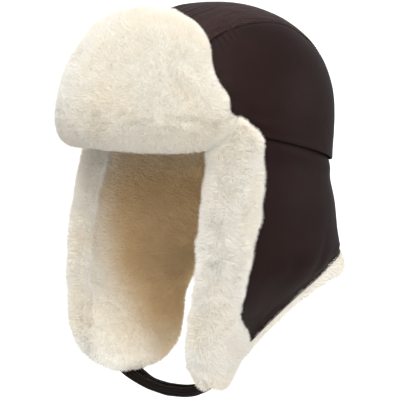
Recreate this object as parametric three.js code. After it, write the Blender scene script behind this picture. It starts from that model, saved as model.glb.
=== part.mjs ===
// A leather flying cap lined with sheared wool, in its worn shape: panelled leather crown, neck skirt
// with ear flaps, a turned-up wool flap over the forehead, turned-out wool flap edges and a chin strap.
// Millimetres, +Z up, the face opening looks along -Y and the wearer's left is +X. The origin is the
// middle of the head opening at brow level.

import * as THREE from 'three';
import { ParametricGeometry } from 'three/addons/geometries/ParametricGeometry.js';
import { mergeVertices } from 'three/addons/utils/BufferGeometryUtils.js';

// Driving sizes of the crown
const halfWidth = 97; // outside of the leather, from the middle to over an ear
const halfLength = 114.5; // outside of the leather, from the middle to the forehead
const crownRise = 97; // from the widest level up to the top
const widestLevel = 18; // above the brow
const crownPower = 2.15; // fullness of the rounded crown, where 2 is an ellipse
const crownTuck = 0.026; // share of its width that the crown loses down to the back seam
const topPanelHalf = 55; // half the width of the middle panel over the top of the head
const backSeamDrop = 28; // crown seam below the brow at the back
const seamCorner = 0.1; // the crown seam's ends turn up along the middle panel by this share of it
const browRim = -1; // lower edge of the crown over the forehead
const flapTop = 107; // top edge of the turned-up flap in the middle, above the brow
const flapTopSide = 76; // and at its sides

// Driving sizes of the skirt, ear flaps and strap
const neckDrop = 105; // leather edge below the brow at the back of the neck
const flapDrop = 198; // leather edge below the brow at the tip of an ear flap
const skirtSetIn = 1; // the crown seam stands this much proud of the skirt
const flapBend = 1.4; // how the flaps draw in towards their front edges, where 2 is an ellipse
const woolPeek = 11; // lining that shows below the leather edge
const strapWidth = 9;
const strapBehind = 26.5; // the strap's place behind the flaps' front edges
const strapHang = 24.5; // how far its middle hangs below the leather edge of the flaps
const strapApart = 2; // between the ends of its two layers, side by side in a flap
const strapStep = 2.3; // the inner layer stands this much higher under the chin

// Walls and clearances
const leather = 1.5;
const liningPile = 13;
const flapPile = 30; // the turned-up flap at its fullest
const cuffPile = 13; // the turned-out edge over the leather
const cuffNose = 14; // how far its rounded front passes the leather's front edge
const strapLeather = 1.6;
const gap = 0.3;
const woolGap = 1.3; // wool beside leather, more than the flat facets take

// Soft lumps of the sheared wool
const lumpHeight = 1.3;
const lumpSize = 24;

// Facets along and across each piece
const facetCount = {
  topPanel: { along: 30, across: 8 },
  sidePanel: { along: 18, across: 8 },
  crownLining: { along: 28, across: 8 },
  frontFlap: { along: 30, across: 12 },
  skirt: { along: 36, across: 12 },
  cuff: { along: 18 },
  strap: { along: 34, across: 1 },
};

const leatherFinish = new THREE.MeshStandardMaterial({ color: 0x332826, roughness: 0.5, metalness: 0 });
const topFinish = new THREE.MeshStandardMaterial({ color: 0x453a37, roughness: 0.5, metalness: 0 });
const woolFinish = new THREE.MeshStandardMaterial({ color: 0xece5d4, roughness: 0.95, metalness: 0 });
const liningFinish = new THREE.MeshStandardMaterial({ color: 0xd8caa8, roughness: 0.95, metalness: 0 });
const strapFinish = new THREE.MeshStandardMaterial({ color: 0x1f1513, roughness: 0.6, metalness: 0 });

// Angles round the head start at the back and end at the forehead
const forehead = 180;

// Crown seam, by angle: how far down it lies, as a share of backSeamDrop
const crownSeam = [
  { around: 0, down: 1 },
  { around: 38, down: 0.86 },
  { around: 80, down: 0.27 },
  { around: 106, down: -0.13 },
  { around: 128, down: -0.3 },
  { around: 150, down: -0.1 },
  { around: 180, down: 0 },
];

// Middle panel, from the forehead (0) to the back seam (1): its half width as a share of topPanelHalf
const panelWidth = [
  { along: 0, half: 1 },
  { along: 0.3, half: 1.06 },
  { along: 0.55, half: 1 },
  { along: 0.8, half: 0.84 },
  { along: 1, half: 0.74 },
];

// Skirt sections by depth (share of flapDrop): side and front are shares of halfWidth, back and reach
// of halfLength. Front is the half distance between the flaps' front edges and reach is how far
// forward they lie. Border is where the turned-out wool begins, as a share of halfLength.
const skirtLevels = [
  { down: -0.12, side: 1.015, back: 1.015, front: 0.86, reach: 0.5, border: 0.45 },
  { down: -0.02, side: 0.975, back: 0.975, front: 0.87, reach: 0.55, border: 0.29 },
  { down: 0.1, side: 0.965, back: 0.965, front: 0.88, reach: 0.58, border: 0.28 },
  { down: 0.2, side: 0.975, back: 0.975, front: 0.9, reach: 0.62, border: 0.29 },
  { down: 0.3, side: 0.995, back: 1.02, front: 0.91, reach: 0.65, border: 0.33 },
  { down: 0.43, side: 1.005, back: 1.05, front: 0.92, reach: 0.69, border: 0.4 },
  { down: 0.54, side: 1.01, back: 1.09, front: 0.92, reach: 0.7, border: 0.45 },
  { down: 0.63, side: 0.93, back: 1.08, front: 0.91, reach: 0.71, border: 0.475 },
  { down: 0.69, side: 0.83, back: 1.03, front: 0.89, reach: 0.715, border: 0.49 },
  { down: 0.76, side: 0.73, back: 1, front: 0.865, reach: 0.72, border: 0.435 },
  { down: 0.82, side: 0.63, back: 1, front: 0.845, reach: 0.725, border: 0.245 },
  { down: 0.9, side: 0.52, back: 1, front: 0.825, reach: 0.725, border: 0.12 },
  { down: 0.96, side: 0.46, back: 1, front: 0.805, reach: 0.72, border: 0.14 },
  { down: 1.06, side: 0.41, back: 1, front: 0.78, reach: 0.7, border: 0.25 },
];

// Leather edge by angle: share of the way from neckDrop down to flapDrop
const rim = [
  { around: 0, fall: 0 },
  { around: 30, fall: 0 },
  { around: 40, fall: 0.01 },
  { around: 55, fall: 0.07 },
  { around: 62, fall: 0.13 },
  { around: 70, fall: 0.23 },
  { around: 78, fall: 0.395 },
  { around: 85, fall: 0.575 },
  { around: 92, fall: 0.795 },
  { around: 99, fall: 0.905 },
  { around: 108, fall: 0.98 },
  { around: 116, fall: 1 },
  { around: 126, fall: 0.98 },
  { around: 136, fall: 0.92 },
];

// Lining below the leather edge: lower is the share of woolPeek, out how far its outer face bulges past
// the leather, as a share of woolPeek from its own face, and full the share of liningPile inside
const peekRows = [
  { lower: 0, out: 0, full: 1 },
  { lower: 0.5, out: 0.3, full: 0.95 },
  { lower: 1, out: 0.12, full: 0.5 },
];
const peekStart = 3; // it starts to bulge this many degrees behind the turned-out edge
const peekFull = 10; // and bulges fully from here on

// Strap from the middle of the chin (0) to its end in a flap (1): spread is the share of the distance
// to the flap, hang the share of strapHang and turn the share of a quarter turn
const strapToe = 0.5; // slant of the flap's face where the strap leaves it
const strapRows = [
  { along: 0, spread: 0, hang: 1, turn: 1 },
  { along: 0.3, spread: 0.38, hang: 0.915, turn: 0.95 },
  { along: 0.5, spread: 0.6, hang: 0.8, turn: 0.8 },
  { along: 0.64, spread: 0.75, hang: 0.7, turn: 0.5 },
  { along: 0.74, spread: 0.862, hang: 0.63, turn: 0.2 },
  { along: 0.83, spread: 0.95, hang: 0.54, turn: 0.04 },
  { along: 0.885, spread: 1, hang: 0.44, turn: 0 },
  { along: 1, spread: 1, hang: 0.01, turn: 0 },
];

// The line where the turned-up flap meets the turned-out edges, by angle: height above the brow, mm
const parting = [
  { around: 100, rise: -6 },
  { around: 105, rise: 3 },
  { around: 110, rise: 13 },
  { around: 114, rise: 18 },
  { around: 118, rise: 19 },
  { around: 122, rise: 13 },
  { around: 126, rise: 5 },
  { around: 130, rise: -2 },
  { around: 136, rise: -5 },
  { around: 180, rise: -3 },
];

// Turned-up flap from its brow edge (0) to its top edge (1): spread is the angle from the forehead to
// its side edges, pile is the share of flapPile and sag how far the wool droops, mm
const flapRows = [
  { up: 0, spread: 62.5, pile: 0.55, sag: 5 },
  { up: 0.06, spread: 61, pile: 0.83, sag: 7 },
  { up: 0.16, spread: 58, pile: 0.96, sag: 6 },
  { up: 0.35, spread: 58, pile: 0.95, sag: 3 },
  { up: 0.55, spread: 54, pile: 0.87, sag: 2 },
  { up: 0.75, spread: 51, pile: 0.76, sag: 3 },
  { up: 0.9, spread: 50, pile: 0.57, sag: 5 },
  { up: 1, spread: 50, pile: 0.16, sag: 3 },
];
const flapSidePile = 0.45; // share of the pile that is left at the side edges
const flapSideRound = 6; // how late the pile thins towards the sides
const flapSagRound = 3; // how late the sag fades towards the sides

// Turned-out edge in section: across runs from its border (0) to the leather's front edge (1), past is
// the share of cuffNose beyond it, out is its wool face and under the face beside the leather, as
// shares of the wall on that side of the leather
const cuffSection = [
  { across: 0, past: 0, out: 0.55, under: 0.05 },
  { across: 0.12, past: 0, out: 0.92, under: 0.05 },
  { across: 0.32, past: 0, out: 1.06, under: 0.05 },
  { across: 0.55, past: 0, out: 1.08, under: 0.05 },
  { across: 0.8, past: 0, out: 1.06, under: 0.05 },
  { across: 1, past: 0, out: 0.98, under: 0.05 },
  { across: 1, past: 0.5, out: 0.75, under: -0.05 },
  { across: 1, past: 0.88, out: 0.3, under: -0.25 },
  { across: 1, past: 1, out: -0.25, under: -0.45 },
  { across: 1, past: 0.85, out: -0.7, under: -0.65 },
  { across: 1, past: 0.45, out: -0.98, under: -0.85 },
];
const noseSeat = 1; // between the leather's front edge and the wool that turns round it
const cuffTop = { border: 105, front: 123.5, nose: 130 }; // angles where it meets the parting line
const cuffEnd = 0.1; // share of its length over which its lower end rounds off
const cuffEndSlim = 0.9; // and how slim it ends, where 1 is a sharp end
const seamPass = { from: -10, to: -2 }; // heights over the crown seam where it steps out over the crown

// A smooth value from a table's column, for a place between its rows
function read(table, key, column, place) {
  const last = table.length - 1;
  if (place <= table[0][key]) return table[0][column];
  if (place >= table[last][key]) return table[last][column];
  const i = table.findIndex((row) => row[key] > place) - 1;
  const slope = (n) => {
    const before = table[Math.max(n - 1, 0)];
    const after = table[Math.min(n + 1, last)];
    return (after[column] - before[column]) / (after[key] - before[key]);
  };
  const [from, to] = [table[i], table[i + 1]];
  const step = to[key] - from[key];
  const t = (place - from[key]) / step;
  const ease = t * t * (3 - 2 * t);
  const leave = t * (1 - t) * (1 - t) * step * slope(i);
  const arrive = t * t * (t - 1) * step * slope(i + 1);
  return from[column] * (1 - ease) + to[column] * ease + leave + arrive;
}

const degrees = THREE.MathUtils.degToRad;
const mix = THREE.MathUtils.lerp;

// Width of the crown at a height, as a share of its widest
function crownWidth(z) {
  if (z >= widestLevel) {
    const height = Math.min((z - widestLevel) / crownRise, 1);
    return (1 - height ** crownPower) ** (1 / crownPower);
  }
  const depth = (widestLevel - z) / (widestLevel + backSeamDrop);
  return 1 - crownTuck * depth * depth;
}

function seamLevel(around) {
  return browRim - backSeamDrop * read(crownSeam, 'around', 'down', around);
}

// How far a point lies outside the crown's leather, as a share: 0 is on it
function crownExcess(p) {
  const flat = Math.hypot(p.x / halfWidth, p.y / halfLength);
  if (p.z < widestLevel) return flat / crownWidth(p.z) - 1;
  const height = (p.z - widestLevel) / crownRise;
  return (flat ** crownPower + height ** crownPower) ** (1 / crownPower) - 1;
}

// The point of the crown's outer face that lies on the line from its middle through a point
function ontoCrown(p) {
  const middle = new THREE.Vector3(0, 0, 0);
  let near = 0.05;
  let far = 4;
  for (let step = 0; step < 40; step += 1) {
    const half = (near + far) / 2;
    if (crownExcess(middle.clone().lerp(p, half)) > 0) far = half;
    else near = half;
  }
  return middle.clone().lerp(p, near);
}

// Outward direction of the crown at a point on it
function crownNormal(p) {
  const reach = 0.05;
  const slope = ['x', 'y', 'z'].map((axis) => {
    const ahead = p.clone();
    const behind = p.clone();
    ahead[axis] += reach;
    behind[axis] -= reach;
    return crownExcess(ahead) - crownExcess(behind);
  });
  return new THREE.Vector3(...slope).normalize();
}

function crownAt(p, out) {
  const foot = ontoCrown(p);
  return foot.addScaledVector(crownNormal(foot), out);
}

// A point of the crown by angle from the back and height
function crownRound(around, z) {
  const width = crownWidth(z);
  const turn = degrees(around);
  return new THREE.Vector3(halfWidth * width * Math.sin(turn), halfLength * width * Math.cos(turn), z);
}

// Even soft lumps of the wool, as a height in mm
function lump(p) {
  const k = (2 * Math.PI) / lumpSize;
  const waves = Math.sin(p.x * k + 2 * Math.sin(p.z * k * 0.5)) * Math.sin(p.y * k + 1.3)
    + Math.sin(p.z * k * 1.1 + p.y * k * 0.4) * Math.cos(p.x * k * 0.7 + p.y * k * 0.5);
  return lumpHeight * 0.5 * waves;
}

// One closed body from a sheet's two faces: rounds of points run over the outer face and back along
// the inner one, and the first and last rounds close on the line between the faces
function sheet(outer, inner, along, across) {
  const turns = 2 * across + 2;
  const point = (u, v, target) => {
    const station = Math.round(u * (along + 2));
    const place = Math.round(v * turns) % turns;
    const s = Math.min(Math.max(station - 1, 0), along) / along;
    const onOuter = place <= across;
    const t = (onOuter ? place : turns - 1 - place) / across;
    const closed = station === 0 || station === along + 2;
    if (closed) target.copy(outer(s, t).lerp(inner(s, t), 0.5));
    else target.copy(onOuter ? outer(s, t) : inner(s, t));
  };
  return closedBody(new ParametricGeometry(point, along + 2, turns));
}

// One closed bowl: rounds go all the way round, from the top of the outer face to the rim and back
function bowl(outer, inner, around, down) {
  const steps = 2 * down + 1;
  const point = (u, v, target) => {
    const place = Math.round(v * steps);
    const s = (Math.round(u * around) % around) / around;
    target.copy(place <= down ? outer(s, place / down) : inner(s, (steps - place) / down));
  };
  return closedBody(new ParametricGeometry(point, around, steps));
}

// Shared corners merged, empty triangles dropped and every face pointing out
function closedBody(geometry) {
  geometry.deleteAttribute('normal');
  geometry.deleteAttribute('uv');
  const merged = mergeVertices(geometry, 1e-3);
  const at = merged.getAttribute('position');
  const index = Array.from(merged.getIndex().array);
  const kept = [];
  let volume = 0;
  const corner = (n) => new THREE.Vector3().fromBufferAttribute(at, n);
  for (let i = 0; i < index.length; i += 3) {
    const [a, b, c] = index.slice(i, i + 3);
    if (a === b || b === c || c === a) continue;
    kept.push(a, b, c);
    volume += corner(a).dot(corner(b).cross(corner(c)));
  }
  if (volume < 0) kept.reverse();
  merged.setIndex(kept);
  merged.computeVertexNormals();
  return merged;
}

function piece(name, geometry, finish) {
  const mesh = new THREE.Mesh(geometry, finish);
  mesh.name = name;
  return mesh;
}

// Seam of the middle panel on one side, before it is set on the crown: 0 at the forehead, 1 at the back
function panelEdge(side, along, clearance) {
  const frontLow = ontoCrown(crownRound(forehead, seamLevel(forehead)));
  const backLow = ontoCrown(crownRound(0, seamLevel(0)));
  const start = Math.atan2(frontLow.y / halfLength, frontLow.z / crownRise);
  const end = Math.atan2(backLow.y / halfLength, backLow.z / crownRise);
  const turn = mix(start, end, along);
  const half = topPanelHalf * read(panelWidth, 'along', 'half', along) + clearance;
  return new THREE.Vector3(side * half, halfLength * Math.sin(turn), crownRise * Math.cos(turn));
}

function crownTopPanel() {
  const { along, across } = facetCount.topPanel;
  const place = (out) => (s, t) => {
    const p = panelEdge(-1, s, 0).lerp(panelEdge(1, s, 0), t);
    return crownAt(p, out);
  };
  return piece('crown_top_panel', sheet(place(0), place(-leather), along, across), topFinish);
}

// A side panel lies between the middle panel's edge and the crown seam
function crownSidePanel(name, side) {
  const seamEnd = (share) => {
    const edge = ontoCrown(panelEdge(side, share, gap));
    return 180 / Math.PI * Math.atan2(Math.abs(edge.x) / halfWidth, edge.y / halfLength);
  };
  const frontTurn = seamEnd(0);
  const backTurn = seamEnd(1);
  const place = (out) => (s, t) => {
    const top = ontoCrown(panelEdge(side, mix(seamCorner, 1 - seamCorner, s), gap));
    const around = mix(frontTurn, backTurn, s);
    const low = crownRound(side * around, seamLevel(around) + gap);
    return crownAt(top.lerp(low, t), out);
  };
  const { along, across } = facetCount.sidePanel;
  return piece(name, sheet(place(0), place(-leather), along, across), leatherFinish);
}

// A point of the skirt's outer leather by angle from the back (negative is the wearer's right) and height
function skirtRound(around, z) {
  const down = -z / flapDrop;
  const side = halfWidth * read(skirtLevels, 'down', 'side', down) - skirtSetIn;
  const back = halfLength * read(skirtLevels, 'down', 'back', down) - skirtSetIn;
  const turn = degrees(Math.abs(around));
  const p = new THREE.Vector3(side * Math.sin(turn), back * Math.cos(turn), z);
  if (Math.abs(around) > 90) {
    const front = halfWidth * read(skirtLevels, 'down', 'front', down);
    const reach = read(skirtLevels, 'down', 'reach', down);
    const forward = -Math.cos(turn);
    p.y = -halfLength * forward;
    p.x = side + (front - side) * (forward / reach) ** flapBend;
  }
  if (around < 0) p.x = -p.x;
  return p;
}

function skirtNormal(around, z) {
  const step = 0.2;
  const ahead = skirtRound(around + step, z).sub(skirtRound(around - step, z));
  const up = skirtRound(around, z + step).sub(skirtRound(around, z - step));
  return ahead.cross(up).normalize().negate();
}

function skirtAt(around, z, out) {
  return skirtRound(around, z).addScaledVector(skirtNormal(around, z), out);
}

// Angle of a forward distance, given as a share of halfLength
function angleOf(share) {
  return forehead - THREE.MathUtils.radToDeg(Math.acos(share));
}

function frontEdge(z) {
  return angleOf(read(skirtLevels, 'down', 'reach', -z / flapDrop));
}

function borderEdge(z) {
  return angleOf(read(skirtLevels, 'down', 'border', -z / flapDrop));
}

function rimLevel(around) {
  return -mix(neckDrop, flapDrop, read(rim, 'around', 'fall', around));
}

// Place on the skirt: s runs from the right flap's front edge (0) round the back to the left one's (1),
// t from the crown seam (0) to the rim (1)
function onSkirt(s, t) {
  const sweep = 2 * s - 1;
  const levelAt = (around) => mix(seamLevel(around) - gap, rimLevel(around), t);
  let edge = frontEdge(mix(seamLevel(forehead), -flapDrop, t));
  for (let pass = 0; pass < 4; pass += 1) edge = frontEdge(levelAt(edge));
  const around = Math.abs(sweep) * edge;
  return { around: Math.sign(sweep) * around, z: levelAt(around) };
}

function neckSkirt() {
  const { along, across } = facetCount.skirt;
  const place = (out) => (s, t) => {
    const { around, z } = onSkirt(s, t);
    return skirtAt(around, z, out);
  };
  return piece('neck_skirt', sheet(place(0), place(-leather), along, across), leatherFinish);
}

function skirtLining() {
  const { along, across } = facetCount.skirt;
  const rows = across + peekRows.length - 1;
  const spot = (s, t) => {
    const step = Math.round(t * rows);
    const { around, z } = onSkirt(s, Math.min(step / across, 1));
    const row = peekRows[Math.max(step - across, 0)];
    return { around, z: z - (step < across ? 0 : gap) - woolPeek * row.lower, row };
  };
  const outerFace = (s, t) => {
    const { around, z, row } = spot(s, t);
    const turn = Math.abs(around);
    const foot = Math.max(z, rimLevel(turn));
    const free = THREE.MathUtils.smoothstep(borderEdge(rimLevel(turn)) - turn, peekStart, peekFull);
    const p = skirtAt(around, foot, mix(-leather - woolGap, woolPeek, row.out * free));
    p.z = z;
    return p;
  };
  const innerFace = (s, t) => {
    const { around, z, row } = spot(s, t);
    const foot = Math.max(z, rimLevel(Math.abs(around)));
    const p = skirtAt(around, foot, -leather - woolGap - liningPile * row.full);
    p.z = z;
    return p.addScaledVector(skirtNormal(around, foot), lump(p));
  };
  return piece('skirt_lining', sheet(innerFace, outerFace, along, rows), liningFinish);
}

function crownLining() {
  const place = (out, rough) => (s, t) => {
    const around = 360 * s;
    const fromBack = around > forehead ? 360 - around : around;
    const low = crownRound(around, seamLevel(fromBack) + gap);
    const high = new THREE.Vector3(0, 0, widestLevel + crownRise);
    const tilt = degrees(90 * t);
    const p = high.multiplyScalar(Math.cos(tilt)).addScaledVector(low, Math.sin(tilt));
    const q = crownAt(p, out);
    return q.addScaledVector(crownNormal(ontoCrown(q)), rough * lump(q));
  };
  const outerFace = place(-leather - woolGap, 0);
  const innerFace = place(-leather - woolGap - liningPile, 1);
  const { along, across } = facetCount.crownLining;
  return piece('crown_lining', bowl(outerFace, innerFace, along, across), liningFinish);
}

// The turned-up flap lies against the crown over the forehead, with a full round front
function frontFlap() {
  const foot = (s, t) => {
    const sweep = 2 * s - 1;
    const turn = sweep * read(flapRows, 'up', 'spread', t);
    const crest = mix(flapTopSide, flapTop, Math.sqrt(Math.max(0, 1 - sweep * sweep)));
    const z = mix(read(parting, 'around', 'rise', forehead - Math.abs(turn)) + gap, crest, t);
    return { p: crownRound(forehead - turn, z), sweep };
  };
  const innerFace = (s, t) => crownAt(foot(s, t).p, woolGap);
  const outerFace = (s, t) => {
    const { p, sweep } = foot(s, t);
    const full = 1 - Math.abs(sweep) ** flapSideRound;
    const pile = flapPile * read(flapRows, 'up', 'pile', t) * mix(flapSidePile, 1, full);
    const q = crownAt(p, woolGap + pile);
    q.addScaledVector(crownNormal(ontoCrown(q)), lump(q));
    q.z -= read(flapRows, 'up', 'sag', t) * (1 - Math.abs(sweep) ** flapSagRound);
    return q;
  };
  const { along, across } = facetCount.frontFlap;
  return piece('front_flap', sheet(outerFace, innerFace, along, across), woolFinish);
}

// The wool edge of an ear flap covers the leather from its border, turns round the front edge and
// meets the lining inside
function earCuff(name, side) {
  const rows = cuffSection.length - 1;
  const inside = leather + woolGap + liningPile;
  const face = (share, past) => (s, t) => {
    const row = cuffSection[Math.round(t * rows)];
    const meets = mix(mix(cuffTop.border, cuffTop.front, row.across), cuffTop.nose, row.past);
    const top = read(parting, 'around', 'rise', meets) - woolGap;
    const aroundAt = (level) => mix(borderEdge(level), frontEdge(level), row.across);
    let z = mix(top, -flapDrop, s);
    for (let pass = 0; pass < 4; pass += 1) z = mix(top, rimLevel(aroundAt(z)) - woolPeek, s);
    const around = aroundAt(z);
    const overSeam = THREE.MathUtils.smoothstep(z - seamLevel(around), seamPass.from, seamPass.to);
    const wall = (out) => out * (out > 0 ? cuffPile : inside);
    const clear = row.across < 1 || past(row) === 0 ? woolGap + skirtSetIn * overSeam * 2 : 0;
    const normal = skirtNormal(side * around, z);
    const ahead = new THREE.Vector3(-normal.y, normal.x, 0).normalize().multiplyScalar(-side);
    const p = skirtAt(side * around, z, wall(row[share]) + (row[share] > 0 ? clear : 0));
    return p.addScaledVector(ahead, past(row));
  };
  const woolFace = face('out', (row) => Math.max(cuffNose * row.past, row.across === 1 ? noseSeat : 0));
  const heelFace = face('under', (row) => (row.across === 1 ? noseSeat : 0));
  const shrink = (s) => Math.sqrt(1 - cuffEndSlim * (Math.max(0, s - 1 + cuffEnd) / cuffEnd) ** 2);
  const outer = (s, t) => {
    const p = woolFace(s, t);
    const middle = p.clone().lerp(heelFace(s, t), 0.5);
    const q = middle.clone().lerp(p, shrink(s));
    return q.addScaledVector(p.sub(middle).normalize(), lump(q));
  };
  const inner = (s, t) => {
    const p = heelFace(s, t);
    return p.clone().lerp(woolFace(s, t), 0.5 - 0.5 * shrink(s));
  };
  return piece(name, sheet(outer, inner, facetCount.cuff.along, rows), woolFinish);
}

// One layer of the strap: it leaves the slot between the lining and the turned-out wool of each flap,
// below the leather edge, and turns from lying along the flap to standing upright under the chin
function chinStrap(name, behind, inward, raise) {
  const forward = halfLength * read(skirtLevels, 'down', 'reach', 1);
  const slot = angleOf((forward - behind) / halfLength);
  const slotTop = rimLevel(slot) - gap;
  const hold = skirtAt(slot, slotTop, -leather / 2);
  const route = (k) => {
    const along = Math.abs(k);
    const spread = read(strapRows, 'along', 'spread', along);
    const x = Math.sign(k) * hold.x * spread;
    const y = mix(strapBehind - forward + inward, hold.y, spread * spread);
    const low = strapHang - raise * (1 - spread);
    return new THREE.Vector3(x, y, slotTop - low * read(strapRows, 'along', 'hang', along));
  };
  const place = (out) => (s, t) => {
    const k = 2 * s - 1;
    const step = 0.01;
    const ahead = route(Math.min(k + step, 1)).sub(route(Math.max(k - step, -1))).normalize();
    const turn = degrees(90 * read(strapRows, 'along', 'turn', Math.abs(k)));
    const toe = -strapToe * Math.sign(k) * Math.cos(turn);
    const lying = new THREE.Vector3(toe, Math.cos(turn), Math.sin(turn));
    const face = lying.clone().cross(ahead).normalize();
    const width = ahead.clone().cross(face).normalize();
    return route(k).addScaledVector(width, (t - 0.5) * strapWidth).addScaledVector(face, out);
  };
  const { along, across } = facetCount.strap;
  const solid = sheet(place(strapLeather / 2), place(-strapLeather / 2), along, across);
  return piece(name, solid, strapFinish);
}

const crown = new THREE.Group();
crown.add(
  crownTopPanel(),
  crownSidePanel('crown_side_left', 1),
  crownSidePanel('crown_side_right', -1),
  crownLining(),
  frontFlap(),
);

const skirt = new THREE.Group();
skirt.add(
  neckSkirt(),
  skirtLining(),
  earCuff('ear_cuff_left', 1),
  earCuff('ear_cuff_right', -1),
);

const strap = new THREE.Group();
strap.add(
  chinStrap('chin_strap_outer', strapBehind, 0, 0),
  chinStrap('chin_strap_inner', strapBehind + strapWidth + strapApart, strapLeather + 2 * gap, strapStep),
);

const cap = new THREE.Group();
cap.add(crown, skirt, strap);
export default cap;
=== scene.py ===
"""A worn-shaped leather flying cap with sheared wool: leather panels, wool pile, strap, stitches and studio."""
import math

import bmesh
import bpy
import numpy as np
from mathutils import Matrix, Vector, noise
from mathutils.bvhtree import BVHTree
from mathutils.kdtree import KDTree


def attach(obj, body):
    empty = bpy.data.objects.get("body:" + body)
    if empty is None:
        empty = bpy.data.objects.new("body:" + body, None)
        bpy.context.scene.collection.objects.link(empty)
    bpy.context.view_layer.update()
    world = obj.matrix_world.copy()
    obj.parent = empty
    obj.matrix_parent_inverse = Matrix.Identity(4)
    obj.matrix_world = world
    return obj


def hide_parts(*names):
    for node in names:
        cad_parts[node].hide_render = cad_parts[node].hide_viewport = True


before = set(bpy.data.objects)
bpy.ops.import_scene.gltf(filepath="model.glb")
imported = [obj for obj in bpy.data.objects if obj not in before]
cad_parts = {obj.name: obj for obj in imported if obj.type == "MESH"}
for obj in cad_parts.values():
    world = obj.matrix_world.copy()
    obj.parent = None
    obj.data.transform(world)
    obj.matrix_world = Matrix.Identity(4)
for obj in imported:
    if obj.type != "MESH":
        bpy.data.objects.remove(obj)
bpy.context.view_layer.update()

MM = 0.001
MERGE = 0.01 * MM
SEED = 41

# The camera, as worked out from the photo: its frame is 400 pixels wide
PICTURE_WIDTH = 400
VIEW_AZIMUTH = 48
VIEW_ELEVATION = 6
VIEW_DISTANCE = 1900 * MM
VIEW_TARGET = Vector((0, 0, -59.6 * MM))
MM_PER_PIXEL = 0.88
TARGET_PIXEL_X = 214
SENSOR = 36
CLIP_END = 2000

# Leather walls
LEATHER = 1.5 * MM
SEAM = {"depth": 1.1 * MM, "width": 3.2 * MM}
HIDDEN_TOP = 4 * MM
CUT_EDGE = 1.4 * MM
CUT_FLARE = 0.7 * MM
HEM = {"ridge": 0.5 * MM, "up": 5 * MM, "half": 1.5 * MM, "roll": 0.9, "roll_half": 3.2 * MM}

# How sharply triangles may meet or skew and still be joined as a quad, and faces and still be one side of
# a wall
QUAD_BEND = math.radians(50)
QUAD_SKEW = math.radians(70)
SIDE_BEND = math.radians(48)

# The skirt's open edges: its seam lies near the crown, and the front edge of a flap is steep
SEAM_CLEAR = 6 * MM
SEAM_NEAR = 4 * MM
FLAP_FRONT = -55 * MM
STEEP = 0.6

# How far one seed's noise lies from the next one's, in its own units
NOISE_STEP = (7.31, 3.17, 5.73)

# Sockets of a Mix node that is set to colours
COLOUR_A = 6
COLOUR_B = 7
COLOUR_OUT = 2

CROWN_NODES = ("crown_top_panel", "crown_side_left", "crown_side_right")
WOOL_NODES = ("front_flap", "ear_cuff_left", "ear_cuff_right", "skirt_lining", "crown_lining")
SIDES = {"left": 1, "right": -1}


def place_camera():
    """The camera stands off the wearer's left front, a little above the cap."""
    turn = math.radians(VIEW_AZIMUTH)
    lift = math.radians(VIEW_ELEVATION)
    back = Vector((math.sin(turn) * math.cos(lift), -math.cos(turn) * math.cos(lift), math.sin(lift)))
    data = bpy.data.cameras.new("camera")
    data.sensor_width = SENSOR
    data.lens = SENSOR * VIEW_DISTANCE / (PICTURE_WIDTH * MM_PER_PIXEL * MM)
    data.shift_x = (PICTURE_WIDTH / 2 - TARGET_PIXEL_X) / PICTURE_WIDTH
    data.clip_end = CLIP_END
    camera = bpy.data.objects.new("camera", data)
    camera.location = VIEW_TARGET + back * VIEW_DISTANCE
    camera.rotation_euler = back.to_track_quat("Z", "Y").to_euler()
    bpy.context.scene.collection.objects.link(camera)
    bpy.context.scene.camera = camera


# Shared mesh steps

def linear(hex_colour):
    """An sRGB hex colour as linear red, green, blue and alpha."""
    parts = [int(hex_colour[i:i + 2], 16) / 255 for i in (1, 3, 5)]
    return tuple(c / 12.92 if c <= 0.04045 else ((c + 0.055) / 1.055) ** 2.4 for c in parts) + (1.0,)


def smoothstep(low, high, value):
    t = np.clip((value - low) / (high - low), 0, 1)
    return t * t * (3 - 2 * t)


def shown(name, mesh, material):
    """A new object for a finished mesh, riding on the cap."""
    mesh.name = name
    mesh.materials.clear()
    for one in material if isinstance(material, (list, tuple)) else [material]:
        mesh.materials.append(one)
    piece = bpy.data.objects.new(name, mesh)
    bpy.context.scene.collection.objects.link(piece)
    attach(piece, "root")
    return piece


def node_mesh(node):
    """A copy of a node's mesh as a bmesh, its corners merged and its triangles joined to quads."""
    bm = bmesh.new()
    bm.from_mesh(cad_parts[node].data)
    bmesh.ops.remove_doubles(bm, verts=bm.verts, dist=MERGE)
    bmesh.ops.join_triangles(
        bm, faces=bm.faces, angle_face_threshold=QUAD_BEND, angle_shape_threshold=QUAD_SKEW
    )
    return bm


def keep_outer_face(bm, outermost):
    """Keeps only the side of a wall that holds its outermost face."""
    start = max(bm.faces, key=lambda face: outermost(face.calc_center_median()))
    kept = {start}
    queue = [start]
    while queue:
        face = queue.pop()
        for edge in face.edges:
            if edge.calc_face_angle(math.pi) > SIDE_BEND:
                continue
            for other in edge.link_faces:
                if other not in kept:
                    kept.add(other)
                    queue.append(other)
    bmesh.ops.delete(bm, geom=[face for face in bm.faces if face not in kept], context="FACES")


def rounded(bm, levels):
    """A bmesh made a mesh and rounded by subdivision."""
    mesh = bpy.data.meshes.new("rounded")
    bm.to_mesh(mesh)
    bm.free()
    helper = bpy.data.objects.new("rounding", mesh)
    bpy.context.scene.collection.objects.link(helper)
    step = helper.modifiers.new("rounding", "SUBSURF")
    step.levels = step.render_levels = levels
    step.boundary_smooth = "PRESERVE_CORNERS"
    graph = bpy.context.evaluated_depsgraph_get()
    result = bpy.data.meshes.new_from_object(helper.evaluated_get(graph))
    bpy.data.objects.remove(helper)
    bpy.data.meshes.remove(mesh)
    return result


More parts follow.
